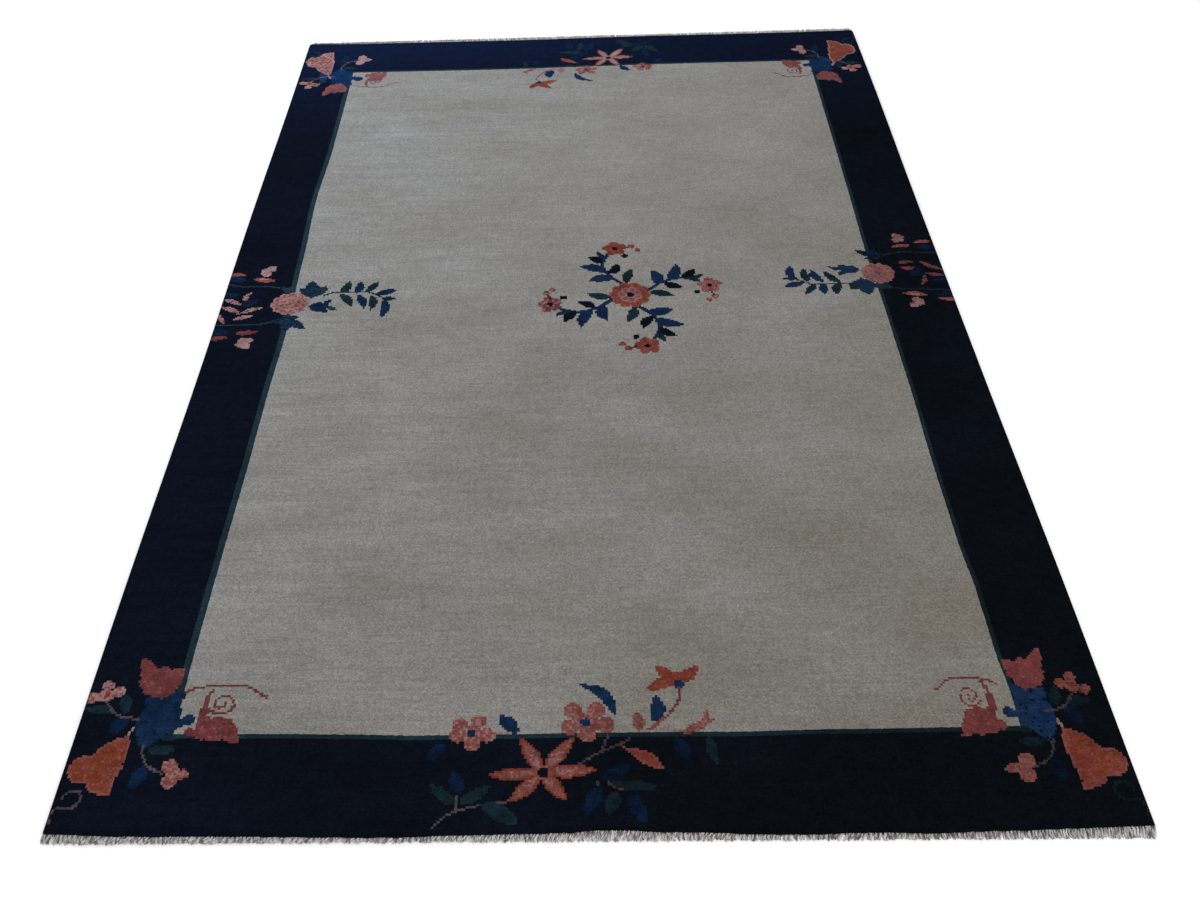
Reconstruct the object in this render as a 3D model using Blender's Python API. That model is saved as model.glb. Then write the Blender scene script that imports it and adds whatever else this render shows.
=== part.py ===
"""A hand-knotted Chinese rug lying flat, with a cotton fringe along each end.

Metres, +Z up, and the underside lies on z = 0. +Y runs to the far end of the rug and +X to its right.
The origin is under the middle of the whole length, fringes included.
"""

import math

import bmesh
import bpy
import numpy as np

# The pile rug
RUG_WIDTH = 1.524
RUG_LENGTH = 2.425
PILE_TOP = 0.010
SIDE_BORDER = 0.149
END_BORDER = 0.160

# The pile rounds down to a low upright edge. Each row is one ring of points, from the edge inwards.
EDGE_RINGS = [
    {"inset": 0.0000, "height": 0.0050},
    {"inset": 0.0014, "height": 0.0085},
    {"inset": 0.0045, "height": 0.0098},
]

# How far the two ends bow outwards from a straight line, at places across the rug
END_BOW = [
    {"across": -0.762, "near": -0.0040, "far": 0.0040},
    {"across": -0.620, "near": 0.0010, "far": -0.0015},
    {"across": -0.350, "near": 0.0028, "far": -0.0030},
    {"across": -0.130, "near": -0.0008, "far": -0.0040},
    {"across": 0.030, "near": -0.0040, "far": 0.0000},
    {"across": 0.200, "near": 0.0010, "far": 0.0025},
    {"across": 0.420, "near": 0.0014, "far": 0.0010},
    {"across": 0.620, "near": -0.0012, "far": 0.0020},
    {"across": 0.762, "near": -0.0050, "far": 0.0050},
]

# How far the two sides waver outwards, at places along the rug
SIDE_BOW = [
    {"along": -1.2125, "left": 0.0000, "right": -0.0004},
    {"along": -0.8000, "left": 0.0012, "right": 0.0012},
    {"along": -0.2500, "left": -0.0012, "right": -0.0006},
    {"along": 0.3500, "left": 0.0012, "right": -0.0012},
    {"along": 0.9000, "left": -0.0008, "right": 0.0012},
    {"along": 1.2125, "left": 0.0000, "right": 0.0000},
]

# Cells of the pile surface
BORDER_CELLS = 1
FIELD_CELLS_ACROSS = 12
FIELD_CELLS_ALONG = 22

# The fringes, whose strands leave a narrow woven strip and lie on the floor
STRANDS = 120
STRAND_STEPS = 2
FIT_GAP = 0.0003
STRIP_DEPTH = 0.0032
STRIP_TOP = 0.0030
STRAND_TOP = 0.0024
TIP_SCALE = 0.62
LENGTH_VARIATION = 0.0010

# The line that the strands are trimmed to, outwards from the straight end, at the left and right corners
NEAR_TRIM = {"left": 0.0120, "right": 0.0170}
FAR_TRIM = {"left": 0.0300, "right": 0.0380}

# How far the strand tips sweep sideways on the way to the trim line
SWEEP = [
    {"across": -0.762, "near": -0.0010, "far": 0.0060},
    {"across": -0.640, "near": -0.0085, "far": 0.0100},
    {"across": -0.350, "near": -0.0075, "far": 0.0020},
    {"across": -0.050, "near": -0.0060, "far": -0.0080},
    {"across": 0.250, "near": -0.0045, "far": -0.0030},
    {"across": 0.550, "near": -0.0010, "far": 0.0070},
    {"across": 0.762, "near": -0.0012, "far": -0.0050},
]

# The middle of the pile rug lies this far from the middle of the whole, as the far fringe is the longer
PILE_MIDDLE = (max(NEAR_TRIM.values()) - max(FAR_TRIM.values())) / 2

NAVY_WOOL = {"name": "navy_wool", "color": (0.006, 0.008, 0.020), "roughness": 0.95}
IVORY_WOOL = {"name": "ivory_wool", "color": (0.235, 0.230, 0.215), "roughness": 0.95}
COTTON = {"name": "cotton", "color": (0.420, 0.405, 0.370), "roughness": 0.90}


def clear_scene():
    for item in list(bpy.data.objects):
        bpy.data.objects.remove(item, do_unlink=True)


def make_collection(name):
    collection = bpy.data.collections.new(name)
    bpy.context.scene.collection.children.link(collection)
    return collection


def make_material(look):
    material = bpy.data.materials.new(look["name"])
    material.use_nodes = True
    shader = material.node_tree.nodes["Principled BSDF"]
    shader.inputs["Base Color"].default_value = (*look["color"], 1.0)
    shader.inputs["Roughness"].default_value = look["roughness"]
    shader.inputs["Metallic"].default_value = 0.0
    material.diffuse_color = (*look["color"], 1.0)
    return material


def eased(rows, place, value, at):
    """The value at a place, eased between the rows of a table."""
    places = [row[place] for row in rows]
    values = [row[value] for row in rows]
    span = int(np.clip(np.searchsorted(places, at) - 1, 0, len(rows) - 2))
    share = float(np.clip((at - places[span]) / (places[span + 1] - places[span]), 0.0, 1.0))
    share = share * share * (3.0 - 2.0 * share)
    return values[span] + (values[span + 1] - values[span]) * share


def stations(half, border, field_cells):
    """Places of the grid lines from one edge of the rug to the other."""
    rounded = [ring["inset"] for ring in EDGE_RINGS]
    margin = np.linspace(rounded[-1], border, BORDER_CELLS + 1)[1:]
    edge = -half + np.concatenate([rounded, margin])
    field = np.linspace(-(half - border), half - border, field_cells + 1)[1:-1]
    return np.concatenate([edge, field, -edge[::-1]])


ACROSS = stations(RUG_WIDTH / 2, SIDE_BORDER, FIELD_CELLS_ACROSS)
ALONG = stations(RUG_LENGTH / 2, END_BORDER, FIELD_CELLS_ALONG)
NEAR_LINE = [RUG_LENGTH / 2 + eased(END_BOW, "across", "near", x) for x in ACROSS]
FAR_LINE = [RUG_LENGTH / 2 + eased(END_BOW, "across", "far", x) for x in ACROSS]


def end_reach(end, x):
    """Distance from the middle of the pile rug out to one of its ends."""
    return float(np.interp(x, ACROSS, NEAR_LINE if end == "near" else FAR_LINE))


def side_reach(side, y):
    return RUG_WIDTH / 2 + eased(SIDE_BOW, "along", side, y)


def rug_place(x, y):
    """A point of the straight-edged plan moved to the rug's own uneven outline."""
    end = "near" if y < 0 else "far"
    side = "left" if x < 0 else "right"
    stretch_y = 1.0 + (end_reach(end, x) / (RUG_LENGTH / 2) - 1.0) * (abs(y) / (RUG_LENGTH / 2)) ** 4
    stretch_x = 1.0 + (side_reach(side, y) / (RUG_WIDTH / 2) - 1.0) * (abs(x) / (RUG_WIDTH / 2)) ** 4
    on_end = math.isclose(abs(y), RUG_LENGTH / 2)
    return x if on_end else x * stretch_x, y * stretch_y + PILE_MIDDLE


def pile_height(ring, x, y):
    """The pile's top: rounded at its rim, and a little uneven where the rug lies on the floor."""
    if ring < len(EDGE_RINGS):
        return EDGE_RINGS[ring]["height"]
    long_wave = math.sin(2.3 * y + 0.6) * math.cos(2.9 * x - 0.4)
    cross_wave = math.sin(5.1 * y - 3.7 * x)
    return PILE_TOP - 0.0004 + 0.0003 * long_wave + 0.0001 * cross_wave


def flat_body(columns, rows, low, high):
    """A closed body on a grid of columns by rows: low() places its underside and high() its top."""
    bm = bmesh.new()
    bmesh.ops.create_grid(bm, x_segments=len(columns) - 1, y_segments=len(rows) - 1, size=0.5)
    grid = {}
    for vert in bm.verts:
        column = round((vert.co.x + 0.5) * (len(columns) - 1))
        row = round((vert.co.y + 0.5) * (len(rows) - 1))
        grid[vert] = (column, row)
    underside = list(bm.faces)
    before = set(bm.verts)
    lifted = bmesh.ops.extrude_face_region(bm, geom=underside, use_keep_orig=True)
    copies = [item for item in lifted["geom"] if isinstance(item, bmesh.types.BMVert)]
    at = {tuple(round(c, 6) for c in vert.co): grid[vert] for vert in before}
    places = {vert: at[tuple(round(c, 6) for c in vert.co)] for vert in copies}
    for vert in before:
        vert.co = low(*grid[vert])
    for vert in copies:
        vert.co = high(*places[vert])
    bmesh.ops.dissolve_faces(bm, faces=underside)
    bmesh.ops.recalc_face_normals(bm, faces=bm.faces)
    return bm


def add_object(name, bm, materials, collection):
    mesh = bpy.data.meshes.new(name)
    bm.to_mesh(mesh)
    bm.free()
    mesh.shade_smooth()
    mesh.set_sharp_from_angle(angle=math.radians(40))
    for material in materials:
        mesh.materials.append(material)
    piece = bpy.data.objects.new(name, mesh)
    collection.objects.link(piece)
    return piece


def make_rug(collection):
    last_column = len(ACROSS) - 1
    last_row = len(ALONG) - 1

    def low(column, row):
        return (*rug_place(ACROSS[column], ALONG[row]), 0.0)

    def high(column, row):
        ring = min(column, row, last_column - column, last_row - row)
        x, y = rug_place(ACROSS[column], ALONG[row])
        return x, y, pile_height(ring, ACROSS[column], ALONG[row])

    bm = flat_body(ACROSS, ALONG, low, high)
    field_half_width = RUG_WIDTH / 2 - SIDE_BORDER
    field_half_length = RUG_LENGTH / 2 - END_BORDER
    for face in bm.faces:
        middle = face.calc_center_median()
        in_field = abs(middle.x) < field_half_width and abs(middle.y - PILE_MIDDLE) < field_half_length
        face.material_index = 1 if in_field and face.normal.z > 0.9 else 0
    return add_object("rug", bm, [make_material(NAVY_WOOL), make_material(IVORY_WOOL)], collection)


def trim_reach(trim, x, strand):
    """Where a strand is cut, outwards from the middle of the pile rug, a little unevenly."""
    share = x / RUG_WIDTH + 0.5
    line = trim["left"] + (trim["right"] - trim["left"]) * share
    return RUG_LENGTH / 2 + line - LENGTH_VARIATION * (0.5 + 0.5 * math.sin(2.4 * strand))


def make_fringe(name, end, trim, cotton, collection):
    outward = -1.0 if end == "near" else 1.0
    columns = np.linspace(-RUG_WIDTH / 2, RUG_WIDTH / 2, 2 * STRANDS + 2)
    depths = [FIT_GAP, FIT_GAP + STRIP_DEPTH]

    def strip_point(column, row, z):
        x = columns[column]
        return x, outward * (end_reach(end, x) + depths[row]) + PILE_MIDDLE, z

    def low(column, row):
        return strip_point(column, row, 0.0)

    def high(column, row):
        return strip_point(column, row, STRIP_TOP)

    bm = flat_body(columns, depths, low, high)
    front = sorted(
        (face for face in bm.faces if face.normal.y * outward > 0.7),
        key=lambda face: face.calc_center_median().x,
    )
    tips = front[1::2]
    roots = [face.calc_center_median() for face in tips]
    half_width = (columns[1] - columns[0]) / 2
    for step in range(1, STRAND_STEPS + 1):
        tips = bmesh.ops.extrude_discrete_faces(bm, faces=tips)["faces"]
        tips.sort(key=lambda face: face.calc_center_median().x)
        share = step / STRAND_STEPS
        scale = 1.0 + (TIP_SCALE - 1.0) * share
        for strand, (face, root) in enumerate(zip(tips, roots)):
            middle = face.calc_center_median()
            reach = outward * trim_reach(trim, root.x, strand) + PILE_MIDDLE
            x = root.x + eased(SWEEP, "across", end, root.x) * share ** 1.5
            y = root.y + (reach - root.y) * share
            for vert in face.verts:
                side = math.copysign(half_width * scale, vert.co.x - middle.x)
                z = STRAND_TOP * scale if vert.co.z > middle.z else 0.0
                vert.co = (x + side, y, z)
    bmesh.ops.recalc_face_normals(bm, faces=bm.faces)
    return add_object(name, bm, [cotton], collection)


def main():
    clear_scene()
    collection = make_collection("chinese_rug")
    make_rug(collection)
    cotton = make_material(COTTON)
    make_fringe("fringe_near", "near", NEAR_TRIM, cotton, collection)
    make_fringe("fringe_far", "far", FAR_TRIM, cotton, collection)


main()
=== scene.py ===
"""The looks of a hand-knotted Chinese rug: its wool pile, foundation, overcast sides and cotton fringes.

Every knot of the pile is one small face. The chart of knots is drawn with petals, leaves, discs and
stems, in millimetres from a landmark of the rug, and each yarn colour becomes a mesh of its own.
In the drawing, a row of three numbers is a disc's place and radius, and a longer row is a petal's or
leaf's base, tip and width, then how far it bends and where it is widest.
"""

import copy
import math

import bpy
import numpy as np
from mathutils import Euler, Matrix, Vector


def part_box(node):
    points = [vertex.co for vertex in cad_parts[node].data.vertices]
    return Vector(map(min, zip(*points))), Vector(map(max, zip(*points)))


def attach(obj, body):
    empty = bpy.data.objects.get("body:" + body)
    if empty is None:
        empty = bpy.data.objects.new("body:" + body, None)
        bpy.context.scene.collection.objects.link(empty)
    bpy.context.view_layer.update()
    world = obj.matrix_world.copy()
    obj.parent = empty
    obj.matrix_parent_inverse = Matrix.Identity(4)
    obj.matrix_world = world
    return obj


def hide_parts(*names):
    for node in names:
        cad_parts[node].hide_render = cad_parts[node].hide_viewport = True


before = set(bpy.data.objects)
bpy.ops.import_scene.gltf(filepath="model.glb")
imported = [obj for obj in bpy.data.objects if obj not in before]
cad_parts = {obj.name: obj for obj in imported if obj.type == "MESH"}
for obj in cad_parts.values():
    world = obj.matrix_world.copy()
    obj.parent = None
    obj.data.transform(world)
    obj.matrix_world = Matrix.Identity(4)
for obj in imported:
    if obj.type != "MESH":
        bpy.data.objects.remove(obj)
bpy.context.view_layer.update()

# The rug's plan, in metres
RUG_WIDTH = 1.524
RUG_LENGTH = 2.425
SIDE_BORDER = 0.149
NEAR_BORDER = 0.1575
FAR_BORDER = 0.1775
FIELD_SIDE = RUG_WIDTH / 2 - SIDE_BORDER
FIELD_NEAR = NEAR_BORDER - RUG_LENGTH / 2
FIELD_FAR = RUG_LENGTH / 2 - FAR_BORDER

# Knots across and along the rug: 80 to the foot
COLUMNS = 400
ROWS = 640
KNOT = RUG_WIDTH / COLUMNS

# The pile's height at distances in from the edge, and how far a knot may stand proud or slip sideways
PILE_PROFILE = {
    "inset": [0.0, 0.0014, 0.0045],
    "height": [0.005, 0.0085, 0.0096],
}
KNOT_LIFT = 0.00022
KNOT_SLIP = 0.00045
WAVE_INSET = 0.02
FOUNDATION_TOP = 0.0046

# Which of the solid's points are its ends and sides, and how their unevenness fades inwards
ON_FLOOR = 1e-5
END_BAND = 0.012
SIDE_BAND = 0.005
OUTLINE_POWER = 4

# How far the weave drifts, in metres, at the field's four edges
SIDE_DRIFT = {
    "along": [-1.21, -1.0, -0.92, -0.8, -0.7, -0.5, -0.31, -0.1, 0.15, 0.4, 0.62, 1.21],
    "left": [0.0, -0.001, -0.002, -0.001, 0.0, 0.002, 0.002, 0.006, 0.001, -0.006, 0.0, -0.001],
    "right": [0.004, 0.009, 0.005, 0.005, 0.0, -0.001, 0.001, 0.0, -0.004, -0.001, 0.0, 0.001],
}
END_DRIFT = {
    "across": [-0.76, -0.45, -0.35, -0.25, 0.0, 0.2, 0.35, 0.6, 0.76],
    "near": [0.001, 0.0, -0.002, -0.0055, -0.006, -0.004, -0.001, 0.0, 0.002],
    "far": [0.0, -0.002, -0.003, -0.003, 0.0, 0.002, 0.003, 0.002, 0.001],
}
# Where the drift begins, from the rug's middle, and how far in from the two ends it fades out
DRIFT_FROM_X = 0.45
DRIFT_FROM_Y = 0.75
DRIFT_END = 0.06

# How far the near end's tufts lean out over the fringe's roots, in metres
NEAR_SPILL = {
    "across": [
        -0.76, -0.68, -0.55, -0.44, -0.33, -0.25, -0.12, -0.03, 0.045,
        0.08, 0.16, 0.27, 0.4, 0.46, 0.55, 0.7, 0.76,
    ],
    "out": [
        0.001, 0.0025, 0.0004, 0.0018, 0.0035, 0.0046, 0.0032, 0.0038, -0.0022,
        0.003, 0.0024, 0.0046, 0.0022, 0.0046, 0.0028, 0.0014, 0.0003,
    ],
}
SPILL_LENGTH = 0.020
TUFT_WIDTH = 0.009
TUFT_REACH = 0.0006
TUFT_JITTER = 0.0004

# Yarns: their sRGB colour at the near right of the rug and at its far left, which carries painted sheen,
# how uneven the dye is from knot to knot and in small patches, and their sheen
YARNS = {
    "ivory": ((115, 111, 103), (144, 145, 146), 0.12, 0.05, 0.04),
    "navy": ((10, 13, 17), (15, 20, 34), 0.12, 0.12, 0.0),
    "teal": ((18, 29, 33), (34, 54, 66), 0.12, 0.2, 0.0),
    "indigo": ((8, 17, 31), (19, 37, 69), 0.14, 0.3, 0.0),
    "blue": ((21, 40, 67), (15, 33, 58), 0.14, 0.3, 0.0),
    "green": ((14, 24, 28), (28, 48, 58), 0.12, 0.3, 0.0),
    "orange": ((103, 48, 36), (111, 54, 39), 0.12, 0.25, 0.02),
    "coral": ((103, 56, 52), (128, 76, 71), 0.12, 0.25, 0.02),
    "pink": ((106, 68, 64), (151, 119, 122), 0.1, 0.25, 0.02),
    "rose": ((97, 48, 49), (100, 53, 56), 0.12, 0.25, 0.02),
    "cream": ((112, 90, 86), (152, 132, 134), 0.1, 0.25, 0.02),
    "tan": ((49, 42, 44), (84, 76, 82), 0.12, 0.25, 0.02),
}
# Painted sheen: some yarns turn lighter towards the far end, most of all on the left
FAR_END_SHEEN_COLOURS = {
    "navy": (18, 30, 60),
    "blue": (28, 61, 116),
    "orange": (128, 72, 58),
    "rose": (142, 97, 106),
}
COTTON = {"light": (197, 196, 195), "dark": (100, 97, 93)}
# The web's cotton is darkened as painted shade where it shows between the strands' roots
WEB_SHADE_COTTON = {"light": (112, 108, 102), "dark": (72, 69, 65)}
# The studio's light shows a colour this many times as bright
LIGHT_LEVEL = 1.045

# Where the painted sheen runs: its share at the left and right, at the near and far end, and in patches
PAINTED_SHEEN_ACROSS = (0.50, -0.02)
PAINTED_SHEEN_ALONG = (0.00, 0.50)
PAINTED_SHEEN_PATCH = 0.22
# Where the far end's painted sheen grows along the rug, and its share at the left and right
FAR_END_SHEEN_SPAN = (0.5, 1.2)
FAR_END_SHEEN_ACROSS = (1.0, 0.25)
# Half spans across and along, over which the painted sheen changes
HALF_ACROSS = 0.66
HALF_ALONG = 1.1

# Streaks along the wefts, partly abrash and partly painted sheen of the pile's nap: their strength on the
# left and right, and between which places it changes
STREAK_DEPTH = (0.24, 0.07)
STREAK_SPAN = (-0.6, 0.5)
STREAK_GAIN = 1.6

# Noise in the wool: how it is stretched, its scale and its detail
WOOL_NOISE = {
    "patch": ((1.0, 1.6, 1.0), 3.4, 6.0),
    "streak": ((1.3, 15.0, 1.0), 1.6, 6.0),
    "fine streak": ((3.0, 42.0, 1.0), 1.9, 5.0),
    "rows": ((12.0, 150.0, 1.0), 1.5, 1.0),
    "ribs": ((150.0, 14.0, 1.0), 1.5, 1.0),
    "fibre": ((1.0, 1.0, 0.3), 950.0, 4.0),
}
BLOTCH_SCALE = 60.0
ROW_TONE = (0.93, 1.07)
RIB_TONE = (0.96, 1.04)
# Painted shade in the crevices between tufts and painted light on their middles: the tone at a tuft's
# middle and edge, and where it changes
CREVICE_SHADE_TONE = (1.10, 0.76)
CREVICE_SHADE_SPAN = (0.15, 0.75)
FIBRE_TONE = (0.74, 1.28)
TUFTS_PER_KNOT = 1.25
PILE_RELIEF = 0.0012
COTTON_STRETCH = (1.0, 0.25, 1.0)
COTTON_PATCH_SCALE = 300.0
COTTON_FIBRE_SCALE = 2200.0
COTTON_TONE = (0.82, 1.14)
COTTON_RELIEF = 0.0003

# The foundation's ribs, and the wool wrapped round the sides
FOUNDATION_GRID = (60, 240)
FOUNDATION_INSET = (0.0008, 0.0005)
RIB_HEIGHT = 0.0002
OVERCAST_REACH = 0.4985
OVERCAST_SIDES = 8
RINGS_PER_STITCH = 3
OVERCAST_RADIUS = 0.00215
OVERCAST_INSET = 0.0008
OVERCAST_HEIGHT = 0.0026
STITCH_SWELL = 0.0003
STITCH_SLANT = 0.0006

# The fringes: their strands, and the web's corners as depth, height and rib height
STRANDS = 520
STRAND_RADIUS = 0.00140
STRAND_RINGS = {"near": 10, "far": 17}
STRAND_SIDES = 8
TWIST_LENGTH = 0.0048
TIP_REACH = 0.0085
FIT_GAP = 0.0003
SIDE_CLEARANCE = 0.001
ABOVE_FLOOR = 0.0001
WEB_DEPTH = 0.0020
WEB_RINGS = 1600
WEB_PROFILE = [
    (0.0, 0.0001, 0.0),
    (WEB_DEPTH, 0.0001, 0.0),
    (WEB_DEPTH, 0.0009, 0.0003),
    (0.5 * WEB_DEPTH, 0.0012, 0.0003),
    (0.0, 0.0014, 0.0003),
]

# How far the strands sweep sideways on their way to the cut, in metres
SWEEP = {
    "across": [-0.762, -0.64, -0.35, -0.05, 0.25, 0.55, 0.762],
    "near": [-0.001, -0.0085, -0.0075, -0.006, -0.0045, -0.001, -0.0012],
    "far": [0.006, 0.01, 0.002, -0.008, -0.003, 0.007, -0.005],
}
SWEEP_GAIN = 1.2
CLUMP_WIDTH = 0.024
CLUMP_LEAN = 0.0032
CLUMP_CURL = 0.0012
LEAN_SPREAD = 0.0009
CURL = (-0.0006, 0.0009)
WAVE = 0.0005
OVER = (0.0008, 0.0019)
ROOT_RISE = 0.0008
CUT_JITTER = 0.0015
SEEDS = {"chart": 7, "pile": 11, "near": 3, "far": 5}

# The camera stands before the near end, as the photo's perspective was measured
CAMERA_PLACE = (0.0013, -2.0636, 1.5335)
CAMERA_PITCH = 0.76377
CAMERA_YAW = -0.04015
CAMERA_ROLL = -0.04387
CAMERA_LENS = 36.494
CAMERA_SHIFT = (0.0406, 0.0011)

LAMPS = {
    "window": {"place": (-2.6, 3.6, 2.6), "size": 2.4, "power": 95.0, "colour": (0.95, 0.98, 1.0)},
    "fill": {"place": (1.8, -2.2, 3.4), "size": 3.0, "power": 60.0, "colour": (1.0, 0.98, 0.95)},
}
SKY_STRENGTH = 0.80


def ramp(distance, full):
    """From 0 to 1 as a distance grows to its full length."""
    return np.clip(distance / full, 0.0, 1.0)


def eased(table, place, value, at):
    """Values at many places, eased between those of a table."""
    places = np.array(table[place])
    values = np.array(table[value])
    span = np.clip(np.searchsorted(places, at) - 1, 0, len(places) - 2)
    share = ramp(at - places[span], places[span + 1] - places[span])
    share = share * share * (3.0 - 2.0 * share)
    return values[span] + (values[span + 1] - values[span]) * share


def slow_noise(dice, x, spacing):
    """Noise from -1 to 1 along x that changes once every spacing."""
    marks = np.arange(-1.0, 1.0 + spacing, spacing)
    return np.interp(x, marks, dice.uniform(-1.0, 1.0, len(marks)))


# The rug's outline, from the solid that the pile stands for

class Outline:
    """The near and far ends and the two sides of the CAD rug, on its underside."""

    def __init__(self, node):
        low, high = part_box(node)
        self.middle_y = (low.y + high.y) / 2
        points = np.array([vert.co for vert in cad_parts[node].data.vertices])
        under = points[points[:, 2] < ON_FLOOR]
        self.edges = {
            "near": self.edge(under[under[:, 1] < low.y + END_BAND], 0),
            "far": self.edge(under[under[:, 1] > high.y - END_BAND], 0),
            "left": self.edge(under[under[:, 0] < low.x + SIDE_BAND], 1),
            "right": self.edge(under[under[:, 0] > high.x - SIDE_BAND], 1),
        }

    @staticmethod
    def edge(points, axis):
        """An edge's places along an axis, in order, and how far across it each lies."""
        line = points[np.argsort(points[:, axis])]
        return line[:, axis], line[:, 1 - axis]

    def at(self, edge, along):
        """How far across an edge lies, at places along it."""
        return np.interp(along, *self.edges[edge])

    def place(self, x, y):
        """Points of the straight-edged plan moved to the rug's own outline."""
        half_width = RUG_WIDTH / 2
        half_length = RUG_LENGTH / 2
        end = np.where(y < 0, self.at("near", x) + half_length, self.at("far", x) - half_length)
        end = end - self.middle_y
        world_y = y + self.middle_y + end * (np.abs(y) / half_length) ** OUTLINE_POWER
        left = self.at("left", world_y) + half_width
        right = self.at("right", world_y) - half_width
        side = np.where(x < 0, left, right)
        return x + side * (np.abs(x) / half_width) ** OUTLINE_POWER, world_y


outline = Outline("rug")


# The chart of knots

class Chart:
    """Which yarn each knot is tied in."""

    def __init__(self):
        self.names = list(YARNS)
        self.yarn = np.full((ROWS, COLUMNS), self.names.index("navy"))
        self.x = ((np.arange(COLUMNS) + 0.5) / COLUMNS - 0.5) * RUG_WIDTH
        self.y = ((np.arange(ROWS) + 0.5) / ROWS - 0.5) * RUG_LENGTH
        self.dice = np.random.default_rng(SEEDS["chart"]).random((ROWS, COLUMNS))

    def block(self, yarn, left, right, near, far):
        """A rectangle whose two sides and two ends are given."""
        inside_x = (self.x > left) & (self.x < right)
        inside_y = (self.y > near) & (self.y < far)
        self.yarn[np.ix_(inside_y, inside_x)] = self.names.index(yarn)


class Spray:
    """A window of the chart with millimetre coordinates of its own: u across, v along, from a landmark.

    The rug's sprays were tied by eye, so no two are alike. The tables across and along say which place of
    the drawing lies at each place of the rug, and the parts say how far some of it is moved and resized.
    """

    def __init__(self, chart, origin, reach, flip=(1, 1), turn=0.0, across=None, along=None, parts=None):
        self.chart = chart
        self.parts = parts or {}
        columns = np.flatnonzero(np.abs(chart.x - origin[0]) < reach)
        rows = np.flatnonzero(np.abs(chart.y - origin[1]) < reach)
        self.window = np.ix_(rows, columns)
        x, y = np.meshgrid(chart.x[columns] - origin[0], chart.y[rows] - origin[1])
        x = x * flip[0] * 1000
        y = y * flip[1] * 1000
        self.u = x * math.cos(turn) + y * math.sin(turn)
        self.v = y * math.cos(turn) - x * math.sin(turn)
        if across:
            self.u = np.interp(self.u, *zip(*across))
        if along:
            self.v = np.interp(self.v, *zip(*along))
        self.dice = chart.dice[self.window]

    def covered(self, shape):
        """Where a shape lies that is given as a row of numbers, or as the knots that it covers."""
        if isinstance(shape, np.ndarray):
            return shape
        if len(shape) == 3:
            return self.disc(shape[:2], shape[2])
        return self.petal(shape[:2], shape[2:4], *shape[4:])

    def part(self, name, about):
        """The same window for one part of the drawing: moved, and resized about a place."""
        across, along, wide, long = self.parts.get(name, (0, 0, 1, 1))
        moved = copy.copy(self)
        moved.u = (self.u - about[0] - across) / wide + about[0]
        moved.v = (self.v - about[1] - along) / long + about[1]
        return moved

    def petal(self, base, tip, width, bend=0.0, belly=0.45):
        """A leaf or petal, widest at its belly, whose middle bows to its left by the bend."""
        du, dv = tip[0] - base[0], tip[1] - base[1]
        length = math.hypot(du, dv)
        along = ((self.u - base[0]) * du + (self.v - base[1]) * dv) / length ** 2
        across = ((self.v - base[1]) * du - (self.u - base[0]) * dv) / length
        share = np.clip(along, 0.0, 1.0)
        swell = np.sin(math.pi * share ** (math.log(0.5) / math.log(belly))) ** 0.8
        middle = 4.0 * bend * share * (1.0 - share)
        return (along > 0) & (along < 1) & (np.abs(across - middle) < width / 2 * swell)

    def disc(self, centre, radius, stretch=1.0):
        """A disc, or an ellipse that is stretched along u."""
        return np.hypot((self.u - centre[0]) / stretch, self.v - centre[1]) < radius

    def line(self, points, width):
        """A thin line through points, rounded where it bends."""
        path = smooth_path(points, 12)
        reach = np.full(self.u.shape, 1e9)
        for u, v in path:
            reach = np.minimum(reach, np.hypot(self.u - u, self.v - v))
        return reach < width / 2

    def paint(self, yarn, *shapes, rim=None, mottle=None, share=0.3):
        """Ties the knots of the shapes in one yarn, with a rim and a scatter of another."""
        mask = np.logical_or.reduce([self.covered(shape) for shape in shapes])
        names = self.chart.names
        tied = self.chart.yarn[self.window]
        tied[mask] = names.index(yarn)
        if mottle:
            tied[mask & (self.dice < share)] = names.index(mottle)
        if rim:
            inner = mask.copy()
            inner[1:, :] &= mask[:-1, :]
            inner[:-1, :] &= mask[1:, :]
            inner[:, 1:] &= mask[:, :-1]
            inner[:, :-1] &= mask[:, 1:]
            tied[mask & ~inner] = names.index(rim)
        self.chart.yarn[self.window] = tied


def smooth_path(points, steps):
    """Points along a smooth curve through the given points."""
    points = np.array(points, float)
    padded = np.vstack([2 * points[0] - points[1], points, 2 * points[-1] - points[-2]])
    path = []
    for a, b, c, d in zip(padded[:-3], padded[1:-2], padded[2:-1], padded[3:]):
        for share in np.linspace(0.0, 1.0, steps, endpoint=False):
            bend = (2 * a - 5 * b + 4 * c - d) * share ** 2 + (3 * b - a - 3 * c + d) * share ** 3
            path.append(b + 0.5 * ((c - a) * share + bend))
    path.append(points[-1])
    return np.array(path)


def ring_of(centre, radius, count, start=0.0):
    """Places on a circle."""
    angles = start + 2 * math.pi * np.arange(count) / count
    return [(centre[0] + radius * math.cos(a), centre[1] + radius * math.sin(a)) for a in angles]


def blossom(spray, centre, petals, radius, yarn, mottle, eye):
    """A flat blossom: a petal to each given place, and an eye."""
    for place in petals:
        outer = (2 * place[0] - centre[0], 2 * place[1] - centre[1])
        neck = spray.petal(centre, outer, radius * 1.5) & spray.disc(centre, radius * 1.7)
        spray.paint(yarn, spray.disc(place, radius), neck, mottle=mottle, share=0.3)
    spray.paint(yarn, spray.disc(centre, radius * 1.2), mottle=mottle, share=0.3)
    spray.paint(eye, spray.disc(centre, radius * 0.55))


# The sprays. A corner spray's landmark is the field's corner, with u and v running into the field.

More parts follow.
